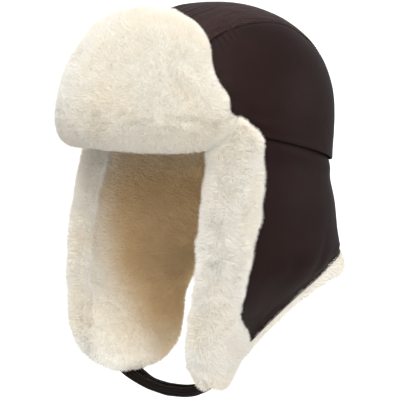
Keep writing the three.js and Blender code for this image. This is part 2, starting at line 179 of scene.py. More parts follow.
def places(mesh):
    """Points and normals of a mesh as arrays."""
    count = len(mesh.vertices)
    points = np.empty(count * 3)
    mesh.vertices.foreach_get("co", points)
    normals = np.empty(count * 3)
    mesh.vertex_normals.foreach_get("vector", normals)
    return points.reshape(-1, 3), normals.reshape(-1, 3)


def move(mesh, points):
    mesh.vertices.foreach_set("co", points.ravel())
    mesh.update()


def tree_of(*nodes):
    """A search tree over the named nodes' faces."""
    corners = []
    faces = []
    for node in nodes:
        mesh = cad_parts[node].data
        start = len(corners)
        corners += [tuple(v.co) for v in mesh.vertices]
        faces += [[start + i for i in face.vertices] for face in mesh.polygons]
    return BVHTree.FromPolygons(corners, faces)


def distances(points, tree, reach=60 * MM):
    """How far each point lies from the nearest face of a tree, up to a reach."""
    found = (tree.find_nearest(p, reach)[3] for p in points)
    return np.array([reach if d is None else d for d in found])


def point_tree(points):
    tree = KDTree(len(points))
    for n, point in enumerate(points):
        tree.insert(point, n)
    tree.balance()
    return tree


def skirt_ends():
    """Search trees over the skirt's hem and its flaps' front edges, as points a millimetre apart."""
    bm = node_mesh("neck_skirt")
    keep_outer_face(bm, lambda p: p.y)
    crown = tree_of(*CROWN_NODES)
    ends = {"hem": [], "front": []}
    for edge in bm.edges:
        a, b = (v.co.copy() for v in edge.verts)
        if not edge.is_boundary or crown.find_nearest((a + b) / 2)[3] < SEAM_CLEAR:
            continue
        steps = max(int(edge.calc_length() / MM), 1)
        ends["front" if steep(a, b) else "hem"] += [a.lerp(b, n / steps) for n in range(steps)]
    bm.free()
    return {kind: point_tree(points) for kind, points in ends.items()}


def steep(a, b):
    """Whether an open edge of the skirt belongs to the front of a flap."""
    return a.y + b.y < 2 * FLAP_FRONT and abs(a.z - b.z) > STEEP * (a - b).length


def roughness_field(points, size, seed=0):
    """A smooth random height between about -1 and 1 at each point, for lumps of a given size."""
    shift = Vector([seed * step for step in NOISE_STEP])
    return np.array([noise.noise(Vector(p) / size + shift) for p in points])


def hill(value, middle, half):
    """A smooth hill, one high round a middle value."""
    return np.exp(-(((value - middle) / half) ** 2))


# Materials

def add(tree, kind, settings=None, links=None):
    """Adds a node. Settings go to its sockets or properties, links join its sockets to (node, output)."""
    node = tree.nodes.new(kind)
    for name, value in (settings or {}).items():
        if name in node.inputs:
            node.inputs[name].default_value = value
        else:
            setattr(node, name, value)
    for name, (source, output) in (links or {}).items():
        tree.links.new(source.outputs[output], node.inputs[name])
    return node


def new_material(name):
    material = bpy.data.materials.new(name)
    material.use_nodes = True
    material.node_tree.nodes.clear()
    return material, material.node_tree


def nappa_leather(name, dark, light, crease_height, wrinkle_height=0.0, shine=0.09):
    """Drum-dyed nappa with a light finish: a fine pebble grain, soft creases and a satin gloss. Wrinkles
    run from front to back and fade out over the top of the head."""
    material, tree = new_material(name)
    patch_size = 45 * MM
    grain_size = 1.1 * MM
    grain_height = 0.12 * MM
    crease_size = 14 * MM
    wrinkle_size = (4.5 * MM, 42 * MM, 16 * MM)
    wrinkles_end = 45 * MM
    wrinkles_full = -50 * MM
    coords = add(tree, "ShaderNodeTexCoord")
    patches = add(
        tree, "ShaderNodeTexNoise", {"Scale": 1 / patch_size, "Detail": 3.0}, {"Vector": (coords, "Object")}
    )
    tone = add(tree, "ShaderNodeMix", {"data_type": "RGBA"}, {"Factor": (patches, "Fac")})
    tone.inputs[COLOUR_A].default_value = linear(dark)
    tone.inputs[COLOUR_B].default_value = linear(light)
    grain = add(
        tree, "ShaderNodeTexVoronoi", {"Scale": 1 / grain_size, "feature": "SMOOTH_F1", "Smoothness": 0.4},
        {"Vector": (coords, "Object")},
    )
    creases = add(
        tree, "ShaderNodeTexNoise",
        {"Scale": 1 / crease_size, "Detail": 5.0, "Roughness": 0.62, "Distortion": 0.8},
        {"Vector": (coords, "Object")},
    )
    crease_bump = add(
        tree, "ShaderNodeBump", {"Strength": 0.7, "Distance": crease_height}, {"Height": (creases, "Fac")}
    )
    stretched = add(
        tree, "ShaderNodeMapping", {"Scale": [1 / size for size in wrinkle_size]},
        {"Vector": (coords, "Object")},
    )
    wrinkles = add(
        tree, "ShaderNodeTexNoise", {"Scale": 1.0, "Detail": 2.0, "Roughness": 0.4, "Distortion": 0.6},
        {"Vector": (stretched, "Vector")},
    )
    split = add(tree, "ShaderNodeSeparateXYZ", None, {"Vector": (coords, "Object")})
    front = add(
        tree, "ShaderNodeMapRange", {"From Min": wrinkles_end, "From Max": wrinkles_full, "To Max": 1.0},
        {"Value": (split, "Y")},
    )
    faded = add(tree, "ShaderNodeMath", {"operation": "MULTIPLY"})
    tree.links.new(wrinkles.outputs["Fac"], faded.inputs[0])
    tree.links.new(front.outputs["Result"], faded.inputs[1])
    wrinkle_bump = add(
        tree, "ShaderNodeBump", {"Strength": 1.0, "Distance": wrinkle_height},
        {"Height": (faded, "Value"), "Normal": (crease_bump, "Normal")},
    )
    grain_bump = add(
        tree, "ShaderNodeBump", {"Strength": 0.35, "Distance": grain_height},
        {"Height": (grain, "Distance"), "Normal": (wrinkle_bump, "Normal")},
    )
    gloss = add(
        tree, "ShaderNodeMapRange", {"To Min": 0.4, "To Max": 0.54}, {"Value": (creases, "Fac")}
    )
    shader = add(
        tree, "ShaderNodeBsdfPrincipled",
        {"IOR": 1.48, "Specular IOR Level": shine, "Specular Tint": (1.0, 0.84, 0.8, 1.0)},
        {"Base Color": (tone, COLOUR_OUT), "Roughness": (gloss, "Result"), "Normal": (grain_bump, "Normal")},
    )
    add(tree, "ShaderNodeOutputMaterial", None, {"Surface": (shader, "BSDF")})
    return material


def cut_skin(name):
    """Raw cut edge of the tanned skin: pale, matte and slightly pink."""
    material, tree = new_material(name)
    fibre_size = 1.2 * MM
    fibre_height = 0.2 * MM
    coords = add(tree, "ShaderNodeTexCoord")
    fibres = add(
        tree, "ShaderNodeTexNoise", {"Scale": 1 / fibre_size, "Detail": 4.0}, {"Vector": (coords, "Object")}
    )
    tone = add(tree, "ShaderNodeMix", {"data_type": "RGBA"}, {"Factor": (fibres, "Fac")})
    tone.inputs[COLOUR_A].default_value = linear("#C9B2A4")
    tone.inputs[COLOUR_B].default_value = linear("#EADCD0")
    bump = add(tree, "ShaderNodeBump", {"Strength": 0.6, "Distance": fibre_height}, {"Height": (fibres, "Fac")})
    shader = add(
        tree, "ShaderNodeBsdfPrincipled", {"Roughness": 0.9, "IOR": 1.45},
        {"Base Color": (tone, COLOUR_OUT), "Normal": (bump, "Normal")},
    )
    add(tree, "ShaderNodeOutputMaterial", None, {"Surface": (shader, "BSDF")})
    return material


def sheared_wool(name, root, tip, inner, stain, stain_amount):
    """Dense sheared sheep's wool: cream at the tips, warmer near the skin, and of its inner colour, painted
    shade, where its depth attribute says so. Light also passes through its fibres."""
    material, tree = new_material(name)
    cloud_size = 38 * MM
    tuft_size = 5 * MM
    tuft_height = 1.0 * MM
    passes_through = 0.3
    coords = add(tree, "ShaderNodeTexCoord")
    pile = add(tree, "ShaderNodeAttribute", {"attribute_name": "pile"})
    # The depth attribute is painted shade: the share of the inner colour
    depth = add(tree, "ShaderNodeAttribute", {"attribute_name": "depth"})
    clouds = add(
        tree, "ShaderNodeTexNoise", {"Scale": 1 / cloud_size, "Detail": 3.0}, {"Vector": (coords, "Object")}
    )
    tufts = add(
        tree, "ShaderNodeTexNoise", {"Scale": 1 / tuft_size, "Detail": 4.0}, {"Vector": (coords, "Object")}
    )
    along = add(tree, "ShaderNodeMix", {"data_type": "RGBA"}, {"Factor": (pile, "Fac")})
    along.inputs[COLOUR_A].default_value = linear(root)
    along.inputs[COLOUR_B].default_value = linear(tip)
    share = add(
        tree, "ShaderNodeMapRange", {"From Min": 0.42, "From Max": 0.75, "To Max": stain_amount},
        {"Value": (clouds, "Fac")},
    )
    stained = add(tree, "ShaderNodeMix", {"data_type": "RGBA"}, {"Factor": (share, "Result")})
    tree.links.new(along.outputs[COLOUR_OUT], stained.inputs[COLOUR_A])
    stained.inputs[COLOUR_B].default_value = linear(stain)
    tone = add(tree, "ShaderNodeMix", {"data_type": "RGBA"}, {"Factor": (depth, "Fac")})
    tree.links.new(stained.outputs[COLOUR_OUT], tone.inputs[COLOUR_A])
    tone.inputs[COLOUR_B].default_value = linear(inner)
    bump = add(tree, "ShaderNodeBump", {"Strength": 0.35, "Distance": tuft_height}, {"Height": (tufts, "Fac")})
    shader = add(
        tree, "ShaderNodeBsdfPrincipled",
        {
            "Roughness": 0.92, "IOR": 1.45, "Specular IOR Level": 0.1,
            "Sheen Weight": 0.2, "Sheen Roughness": 0.5,
        },
        {"Base Color": (tone, COLOUR_OUT), "Normal": (bump, "Normal")},
    )
    glow = add(tree, "ShaderNodeBsdfTranslucent", None, {"Color": (tone, COLOUR_OUT)})
    both = add(tree, "ShaderNodeMixShader")
    both.inputs[0].default_value = passes_through
    tree.links.new(shader.outputs["BSDF"], both.inputs[1])
    tree.links.new(glow.outputs["BSDF"], both.inputs[2])
    add(tree, "ShaderNodeOutputMaterial", None, {"Surface": (both, "Shader")})
    return material


def waxed_thread(name, dark, light):
    """Waxed polyester sewing thread, a twist of fine filaments."""
    material, tree = new_material(name)
    twist_size = 0.4 * MM
    coords = add(tree, "ShaderNodeTexCoord")
    twist = add(
        tree, "ShaderNodeTexNoise", {"Scale": 1 / twist_size, "Detail": 2.0}, {"Vector": (coords, "Object")}
    )
    tone = add(tree, "ShaderNodeMix", {"data_type": "RGBA"}, {"Factor": (twist, "Fac")})
    tone.inputs[COLOUR_A].default_value = linear(dark)
    tone.inputs[COLOUR_B].default_value = linear(light)
    shader = add(
        tree, "ShaderNodeBsdfPrincipled", {"Roughness": 0.5, "IOR": 1.5}, {"Base Color": (tone, COLOUR_OUT)}
    )
    add(tree, "ShaderNodeOutputMaterial", None, {"Surface": (shader, "BSDF")})
    return material


# Leather panels

# Soft creases of each kind of panel, broad ones and fine ones, in millimetres
CREASES = {
    "top": ({"height": 0.7, "size": 38, "seed": 1}, {"height": 0.2, "size": 9, "seed": 2}),
    "side": ({"height": 0.8, "size": 42, "seed": 4}, {"height": 0.15, "size": 10, "seed": 5}),
    "skirt": ({"height": 0.9, "size": 46, "seed": 6}, {"height": 0.16, "size": 11, "seed": 7}),
}

# Wrinkles and folds by the wool: they wander as they run, and show in patches of a noise from bare to full
TOP_WRINKLES = {
    "pitch": 14 * MM, "wander": 30 * MM, "sway": 4, "patch": 26 * MM, "bare": -0.3, "full": 0.5,
    "depth": 1.5 * MM,
}
SIDE_FOLDS = {
    "pitch": 15 * MM, "wander": 32 * MM, "sway": 3.5, "patch": 24 * MM, "bare": -0.35, "full": 0.45,
    "height": 0.5 * MM, "slant": 0.35, "gone": 34 * MM, "near": 6 * MM,
}

# Puckers of the crown seams: where from back to front they begin and are full, and how far they reach
PUCKERS = {"pitch": 6 * MM, "height": 0.9 * MM}
TOP_GATHER = {"begin": 25 * MM, "full": -60 * MM, "reach": 7 * MM}
SIDE_GATHER = {"begin": 10 * MM, "full": -60 * MM, "reach": 9 * MM}

# The crown's lower edge stands proud over the skirt, which tucks in under it and swells out below
PROUD_EDGE = {"height": 0.25 * MM, "up": 3 * MM, "half": 2.5 * MM}
TUCK = {"depth": 0.7 * MM, "half": 2.5 * MM}
SWELL = {"height": 0.9 * MM, "down": 8 * MM, "half": 6 * MM}


def leather_panel(name, node, outermost, levels, shape, materials, finish_edges=None):
    """A leather wall from a node's outer face: rounded, shaped by a function and given its thickness."""
    bm = node_mesh(node)
    keep_outer_face(bm, outermost)
    if finish_edges:
        finish_edges(bm)
    mesh = rounded(bm, levels)
    shape(mesh)
    for face in mesh.polygons:
        face.use_smooth = True
    piece = shown(name, mesh, materials)
    wall = piece.modifiers.new("wall", "SOLIDIFY")
    wall.thickness = LEATHER
    wall.offset = -1
    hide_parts(node)
    return piece


def turned_seam(points, normals, away):
    """Both leathers of a turned seam roll inward and meet."""
    return points - normals * (SEAM["depth"] * hill(away, 0, SEAM["width"]))[:, None]


def soft_creases(points, normals, panel):
    for crease in CREASES[panel]:
        rise = crease["height"] * MM * roughness_field(points, crease["size"] * MM, crease["seed"])
        points = points + normals * rise[:, None]
    return points


def seam_puckers(points, away, gather):
    """Small folds at right angles to a gathered seam, dying out away from it."""
    waves = PUCKERS["height"] * np.sin(2 * math.pi * points[:, 1] / PUCKERS["pitch"])
    return waves * hill(away, 0, gather["reach"])


def proud_edge(points, normals):
    up = distances(points, tree_of("neck_skirt"))
    return points + normals * (PROUD_EDGE["height"] * hill(up, PROUD_EDGE["up"], PROUD_EDGE["half"]))[:, None]


def top_panel_shape(mesh):
    """Fine wrinkles run back from the flap, the side seams pucker and the lower edges stand proud."""
    points, normals = places(mesh)
    sides = tree_of("crown_side_left", "crown_side_right")
    away = distances(points, sides)
    forward = smoothstep(TOP_GATHER["begin"], TOP_GATHER["full"], points[:, 1])
    wander = roughness_field(points, TOP_WRINKLES["wander"], 3)
    wave = 2 * math.pi * points[:, 0] / TOP_WRINKLES["pitch"] + TOP_WRINKLES["sway"] * wander
    patch = roughness_field(points, TOP_WRINKLES["patch"], 9)
    patch = smoothstep(TOP_WRINKLES["bare"], TOP_WRINKLES["full"], patch)
    points = points - normals * (TOP_WRINKLES["depth"] * np.sin(wave) ** 2 * patch * forward)[:, None]
    points = points + normals * (seam_puckers(points, away, TOP_GATHER) * forward)[:, None]
    points = soft_creases(points, normals, "top")
    points = turned_seam(points, normals, distances(points, sides))
    move(mesh, proud_edge(points, normals))


def side_panel_shape(mesh):
    """Soft folds run in from the wool, the seam puckers towards it and the lower edge stands proud."""
    points, normals = places(mesh)
    wool = distances(points, tree_of("front_flap", "ear_cuff_left", "ear_cuff_right"))
    beside = smoothstep(SIDE_FOLDS["gone"], SIDE_FOLDS["near"], wool)
    wander = roughness_field(points, SIDE_FOLDS["wander"], 17)
    level = points[:, 2] + SIDE_FOLDS["slant"] * points[:, 1]
    folds = np.sin(2 * math.pi * level / SIDE_FOLDS["pitch"] + SIDE_FOLDS["sway"] * wander)
    patch = roughness_field(points, SIDE_FOLDS["patch"], 19)
    patch = smoothstep(SIDE_FOLDS["bare"], SIDE_FOLDS["full"], patch)
    points = points + normals * (SIDE_FOLDS["height"] * folds * patch * beside)[:, None]
    top = tree_of("crown_top_panel")
    away = distances(points, top)
    forward = smoothstep(SIDE_GATHER["begin"], SIDE_GATHER["full"], points[:, 1])
    points = points + normals * (seam_puckers(points, away, SIDE_GATHER) * forward)[:, None]
    points = soft_creases(points, normals, "side")
    points = turned_seam(points, normals, distances(points, top))
    move(mesh, proud_edge(points, normals))


# Soft dents of the skirt, in degrees and millimetres: angle from the back, height, half length, half width,
# depth and tilt
SKIRT_DENTS = (
    {"around": 62, "height": -102, "length": 19, "width": 5, "depth": 1.3, "tilt": 62},
    {"around": 50, "height": -112, "length": 16, "width": 6, "depth": 1.0, "tilt": 40},
    {"around": 84, "height": -95, "length": 30, "width": 9, "depth": 0.9, "tilt": 80},
    {"around": 22, "height": -78, "length": 24, "width": 9, "depth": 0.9, "tilt": 75},
    {"around": 40, "height": -48, "length": 26, "width": 8, "depth": 0.7, "tilt": 85},
)


def from_the_back(points):
    """Each point's angle round the head in degrees, from the middle of the back to either side."""
    return np.degrees(np.arctan2(np.abs(points[:, 0]), points[:, 1]))


def skirt_shape(mesh):
    """The skirt is dented, tucked in under the crown's edge and rolled at its hem."""
    points, normals = places(mesh)
    around = from_the_back(points)
    radius = np.hypot(points[:, 0], points[:, 1])
    sink = np.zeros(len(points))
    for dent in SKIRT_DENTS:
        side = np.radians(around - dent["around"]) * radius
        rise = points[:, 2] - dent["height"] * MM
        tilt = math.radians(dent["tilt"])
        along = -side * math.cos(tilt) + rise * math.sin(tilt)
        across = side * math.sin(tilt) + rise * math.cos(tilt)
        spread = (along / (dent["length"] * MM)) ** 2 + (across / (dent["width"] * MM)) ** 2
        sink += dent["depth"] * MM * np.exp(-spread)
    points = points - normals * sink[:, None]
    points = soft_creases(points, normals, "skirt")
    down = distances(points, tree_of(*CROWN_NODES))
    tuck = TUCK["depth"] * hill(down, 0, TUCK["half"])
    swell = SWELL["height"] * hill(down, SWELL["down"], SWELL["half"])
    points = points + normals * (swell - tuck)[:, None]
    hem = skirt_ends()["hem"]
    up = np.array([hem.find(p)[2] for p in points])
    ridge = hill(up, HEM["up"], HEM["half"]) - HEM["roll"] * hill(up, 0, HEM["roll_half"])
    points = points + normals * (HEM["ridge"] * ridge)[:, None]
    move(mesh, points)


def extend_edge(bm, edges, shift, material):
    """Grows a strip from an open edge and returns its new corners."""
    made = bmesh.ops.extrude_edge_only(bm, edges=edges)["geom"]
    corners = [v for v in made if isinstance(v, bmesh.types.BMVert)]
    bmesh.ops.translate(bm, verts=corners, vec=shift)
    for face in made:
        if isinstance(face, bmesh.types.BMFace):
            face.material_index = material
    return corners


def skirt_edges(bm):
    """The skirt runs up behind the crown's edge, and its hem shows the cut skin."""
    crown = tree_of(*CROWN_NODES)
    ends = {edge: [v.co.copy() for v in edge.verts] for edge in bm.edges if edge.is_boundary}
    top = [edge for edge, (a, b) in ends.items() if crown.find_nearest((a + b) / 2)[3] < SEAM_NEAR]
    hem = [edge for edge in ends if edge not in top and not steep(*ends[edge])]
    extend_edge(bm, top, Vector((0, 0, HIDDEN_TOP)), 0)
    for vert in extend_edge(bm, hem, Vector((0, 0, -CUT_EDGE)), 1):
        vert.co.xy += vert.co.xy.normalized() * CUT_FLARE


def build_leather(materials):
    """The three panels of the crown and the skirt. The top panel is returned, for its stitches."""
    # The top panel takes the lighter copy of the leather, as painted light
    top = leather_panel(
        "crown_top_leather", "crown_top_panel", lambda p: p.z, 3, top_panel_shape,
        materials["crown_leather"],
    )
    for side, sign in SIDES.items():
        leather_panel(
            "crown_side_leather_" + side, "crown_side_" + side, lambda p: sign * p.x, 3, side_panel_shape,
            materials["side_leather"],
        )
    leather_panel(
        "neck_skirt_leather", "neck_skirt", lambda p: p.y, 2, skirt_shape,
        [materials["side_leather"], materials["cut_skin"]], skirt_edges,
    )
    return top


# Stitches

STITCH = {"inset": 2.4 * MM, "pitch": 3.4 * MM, "length": 2.5 * MM, "radius": 0.34 * MM}
STITCH_SIDES = 6
# Rings of a stitch: their place along it as a share of its length, and their lift and width as shares of its
# radius
STITCH_RINGS = ((-0.5, -0.8, 0.5), (-0.36, 0.3, 0.9), (0, 0.75, 1.0), (0.36, 0.3, 0.9), (0.5, -0.8, 0.5))
SEAM_SEARCH = 2.5 * MM
FLAP_CLEAR = 1.5 * MM


def stitch_row(name, spots, material):
    """Sewn stitches as one mesh: each is a short bent rod, from its middle, direction and upward side."""
    bm = bmesh.new()
    radius = STITCH["radius"]
    turns = [2 * math.pi * n / STITCH_SIDES for n in range(STITCH_SIDES)]
    for middle, way, up in spots:
        side = way.cross(up).normalized()
        rings = []
        for along, lift, wide in STITCH_RINGS:
            centre = middle + way * along * STITCH["length"] + up * lift * radius
            rings.append([
                bm.verts.new(centre + radius * wide * (side * math.cos(turn) + up * math.sin(turn)))
                for turn in turns
            ])
        for low, high in zip(rings, rings[1:]):
            for n in range(STITCH_SIDES):
                bm.faces.new((low[n], low[(n + 1) % STITCH_SIDES], high[(n + 1) % STITCH_SIDES], high[n]))
    bmesh.ops.recalc_face_normals(bm, faces=bm.faces)
    mesh = bpy.data.meshes.new(name)
    bm.to_mesh(mesh)
    bm.free()
    for face in mesh.polygons:
        face.use_smooth = True
    return shown(name, mesh, material)


def crown_seam_spots(panel, side):
    """Places of stitches along one seam of the top panel, on its finished leather."""
    bm = node_mesh("crown_top_panel")
    keep_outer_face(bm, lambda p: p.z)
    neighbour = tree_of("crown_side_" + side)
    flap = tree_of("front_flap")
    rim = [v.co.copy() for v in bm.verts if v.is_boundary and neighbour.find_nearest(v.co)[3] < SEAM_SEARCH]
    bm.free()
    rim.sort(key=lambda p: math.atan2(p.y, p.z))
    corners = [tuple(v.co) for v in panel.data.vertices]
    skin = BVHTree.FromPolygons(corners, [tuple(face.vertices) for face in panel.data.polygons])
    spots = []
    carried = 0
    for a, b in zip(rim, rim[1:]):
        span = (b - a).length
        while carried < span:
            p = a.lerp(b, carried / span)
            p.x -= math.copysign(STITCH["inset"], p.x)
            place, up, _, _ = skin.find_nearest(p)
            if flap.find_nearest(place)[3] > FLAP_CLEAR:
                spots.append((place, (b - a).normalized(), up))
            carried += STITCH["pitch"]
        carried -= span
    return spots


def build_stitches(top, material):
    for side in SIDES:
        row = stitch_row("crown_stitches_" + side, crown_seam_spots(top, side), material)


# Wool

# The lower ends of the ear flaps' wool: over these heights it rises and draws in at its front and back
FLAP_END = {"begin": -160 * MM, "full": -206 * MM, "sag": 3 * MM, "front_rise": 14 * MM, "back_rise": 8 * MM}
FLAP_END_FRONT = {"begin": -66 * MM, "full": -98 * MM, "draw": 4 * MM}
FLAP_END_BACK = {"begin": -58 * MM, "full": -20 * MM, "draw": 4 * MM}

# Where the leather's front edge lies, by height, and how much of the wool's nose before it is drawn back, in
# millimetres
FRONT_EDGE = {"height": (-160, -120, -80, -40, 0), "forward": (83.3, 81.3, 77.7, 71.7, 65)}
NOSE_TRIM = {"height": (-150, -110, -60, 0), "share": (0, 0.15, 0.32, 0.32)}

# The hem's wool: how far it swells out and down, and how much further round the back corners, in degrees
HEM_SWELL = {"below": 7 * MM, "out": 2 * MM, "down": 1 * MM}
HEM_CORNER = {"around": 40, "half": 14, "out": 3 * MM, "down": 6 * MM}

# The lining's front edge, which runs under the turned-out wool
UNDER_CUFF = {"begin": 25 * MM, "full": 13 * MM, "swell": 0.8 * MM, "forward": 1.2 * MM}
UNDER_CUFF_END = {"gone": -192 * MM, "full": -160 * MM}

# The turned-up flap's full shoulder, by height and by distance from the leather
SHOULDER = {"lift": 5 * MM, "begin": 64 * MM, "full": 92 * MM, "near": 6 * MM, "far": 17 * MM}

# The lining's painted shade, a tan for the shade deep inside the cap: it fades out towards the flaps' ends,
# over its pale front edge, which widens downwards, and partly towards the crown
PAINTED_SHADE_END = {
    "gone": -192 * MM, "full": -112 * MM, "wander": 1.5, "behind": 0.9, "behind_most": 70 * MM, "drop": 20 * MM,
}
PAINTED_SHADE_EDGE = {"gone": -12 * MM, "full": 40 * MM, "below": -40 * MM, "widens": 0.2}
PAINTED_SHADE_TOP = {"begin": -52 * MM, "full": -24 * MM, "share": 0.35}
PAINTED_SHADE_FACING = {"gone": -0.1, "full": 0.5}
PAINTED_SHADE_WANDER = {"height": 9 * MM, "size": 30 * MM}

# The turned-up flap is painted greyer low down, as painted shade
FLAP_PAINTED_SHADE = {"share": 0.5, "gone": 36 * MM, "full": -4 * MM, "wander": 6 * MM, "size": 24 * MM}

# Where the turned-up flap's wool is crushed into small level curls, and how flat they are
CRUSHED = {"height": 21 * MM, "half": 13 * MM, "depth": 1.5 * MM, "size": 15 * MM, "flat": 3}

# Elsewhere the wool is ruffled in patches of a noise, less so on the turned-out edges
RUFFLED = {"size": 40 * MM, "calm": -0.1, "full": 0.55, "cuff_share": 0.5}

# Wool stands open where its neighbours are this far off, and is covered where one lies straight over it
OPEN = {"pressed": 1.4 * MM, "free": 6 * MM}
COVERED = {"lift": 0.05 * MM, "reach": 4 * MM}

# Wool leans over to other wool close by and grows denser there, less so at the outer tops of the turned-out
# edges
JOIN = {"search": 11 * MM, "gone": 9.5 * MM, "full": 3 * MM, "most": 6 * MM, "share": 0.65, "denser": 1.5}
JOIN_LESS = {"share": 0.6, "back_from": -70 * MM, "back_full": -60 * MM, "up_from": -12 * MM, "up_full": 0}

BASE_TONE = 0.35
SWIRL_SIZE = 7 * MM


def flap_ends(points, back_too):
    """The ear flaps' wool sags at its lower end and rounds off towards the front, and for the turned-out
    edges towards the back."""
    low = smoothstep(FLAP_END["begin"], FLAP_END["full"], points[:, 2])
    front = smoothstep(FLAP_END_FRONT["begin"], FLAP_END_FRONT["full"], points[:, 1])
    back = smoothstep(FLAP_END_BACK["begin"], FLAP_END_BACK["full"], points[:, 1]) * back_too
    points[:, 2] += low * (FLAP_END["front_rise"] * front + FLAP_END["back_rise"] * back - FLAP_END["sag"])
    points[:, 1] += low * (FLAP_END_FRONT["draw"] * front - FLAP_END_BACK["draw"] * back)
    return points


def slim_nose(points):
    """The turned-out edges are slimmer at their front near the top."""
    height = points[:, 2] / MM
    edge = -np.interp(height, FRONT_EDGE["height"], FRONT_EDGE["forward"]) * MM
    ahead = np.maximum(edge - points[:, 1], 0)
    points[:, 1] += ahead * np.interp(height, NOSE_TRIM["height"], NOSE_TRIM["share"])
    return points


def outward(points):
    """The level direction away from the head's middle at each point."""
    return points[:, :2] / np.linalg.norm(points[:, :2], axis=1)[:, None]


def hem_bulge(points, ends):
    """Wool swells below the skirt's hem, most at its back corners."""
    nearest = np.array([ends["hem"].find(p)[0] for p in points])
    below = smoothstep(0, HEM_SWELL["below"], nearest[:, 2] - points[:, 2])
    corner = hill(from_the_back(points), HEM_CORNER["around"], HEM_CORNER["half"])
    points[:, :2] += outward(points) * (below * (HEM_SWELL["out"] + HEM_CORNER["out"] * corner))[:, None]
    points[:, 2] -= below * (HEM_SWELL["down"] + HEM_CORNER["down"] * corner)
    return points


def run_under_cuff(points, normals, ends):
    """The lining's front edge swells forward into the turned-out wool, so that they meet without a groove."""
    from_front = np.array([ends["front"].find(p)[2] for p in points])
    near = smoothstep(UNDER_CUFF["begin"], UNDER_CUFF["full"], from_front)
    near *= smoothstep(UNDER_CUFF_END["gone"], UNDER_CUFF_END["full"], points[:, 2])
    points = points + normals * (UNDER_CUFF["swell"] * near)[:, None]
    points[:, 1] -= UNDER_CUFF["forward"] * near
    return points


def full_shoulder(points, away):
    """The turned-up flap keeps a full shoulder along its top, away from the leather."""
    high = smoothstep(SHOULDER["begin"], SHOULDER["full"], points[:, 2])
    points[:, 2] += SHOULDER["lift"] * high * smoothstep(SHOULDER["near"], SHOULDER["far"], away)
    return points


def inside_shade(points, normals, ends):
    """How much painted shade, in tan, the lining gets: pale at its edges and at the flaps' ends, tan deep
    inside the cap.
    """
    from_front = np.array([ends["front"].find(p)[2] for p in points])
    facing_in = -(normals[:, :2] * outward(points)).sum(1)
    soft = PAINTED_SHADE_WANDER["height"] * roughness_field(points, PAINTED_SHADE_WANDER["size"], 15)
    behind = PAINTED_SHADE_END["behind"] * np.minimum(from_front, PAINTED_SHADE_END["behind_most"])
    level = points[:, 2] + PAINTED_SHADE_END["wander"] * soft + behind - PAINTED_SHADE_END["drop"]
    shade = smoothstep(PAINTED_SHADE_END["gone"], PAINTED_SHADE_END["full"], level)
    pale_edge = PAINTED_SHADE_EDGE["widens"] * np.maximum(PAINTED_SHADE_EDGE["below"] - points[:, 2], 0)
    shade *= smoothstep(PAINTED_SHADE_EDGE["gone"], PAINTED_SHADE_EDGE["full"], from_front + soft - pale_edge)
    shade *= 1 - PAINTED_SHADE_TOP["share"] * smoothstep(PAINTED_SHADE_TOP["begin"], PAINTED_SHADE_TOP["full"], points[:, 2] + soft)
    return shade * smoothstep(PAINTED_SHADE_FACING["gone"], PAINTED_SHADE_FACING["full"], facing_in)


def low_painted_shade(points):
    """How much painted shade greys the turned-up flap low down."""
    wander = FLAP_PAINTED_SHADE["wander"] * roughness_field(points, FLAP_PAINTED_SHADE["size"], 23)
    return FLAP_PAINTED_SHADE["share"] * smoothstep(FLAP_PAINTED_SHADE["gone"], FLAP_PAINTED_SHADE["full"], points[:, 2] + wander)


def wool_contacts(node, points, normals):
    """What surrounds a node's wool at each point: its distance from the other nodes, whether one covers it, how
    far it joins other wool, the way to that wool and its distance."""
    others = tree_of(*[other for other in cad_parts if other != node])
    wools = tree_of(*[other for other in WOOL_NODES if other != node])
    away = distances(points, others)
    covered = np.array([
        others.ray_cast(Vector(p + n * COVERED["lift"]), Vector(n), COVERED["reach"])[0] is not None
        for p, n in zip(points, normals)
    ])
    nearest = [wools.find_nearest(p, JOIN["search"]) for p in points]
    toward = np.array([(0, 0, 0) if place is None else place for place, _, _, _ in nearest])
    apart = np.array([1.0 if far is None else far for _, _, _, far in nearest])
    joins = smoothstep(JOIN["gone"], JOIN["full"], apart) * (apart < JOIN["search"]) * (1 - covered)
    back = smoothstep(JOIN_LESS["back_from"], JOIN_LESS["back_full"], points[:, 1])
    up = smoothstep(JOIN_LESS["up_from"], JOIN_LESS["up_full"], points[:, 2])
    joins *= 1 - JOIN_LESS["share"] * back * up
    lean = np.where(joins[:, None] > 0, toward - points, 0)
    lean /= np.maximum(np.linalg.norm(lean, axis=1), 1e-6)[:, None]
    return away, covered, joins, lean, apart


def lumps_and_ruffle(wool, points):
    """The height of a wool piece's lumps, and how ruffled its pile is."""
    lumps = wool["lump"] * MM * roughness_field(points, wool["lump_size"] * MM, 8)
    if wool["node"] == "front_flap":
        ruffle = hill(points[:, 2], CRUSHED["height"], CRUSHED["half"])
        curls = roughness_field(points * (1, 1, CRUSHED["flat"]), CRUSHED["size"], 25)
        return lumps + CRUSHED["depth"] * ruffle * curls, ruffle
    ruffle = smoothstep(RUFFLED["calm"], RUFFLED["full"], roughness_field(points, RUFFLED["size"], 21))
    return lumps, ruffle * (RUFFLED["cuff_share"] if "cuff" in wool["node"] else 1)


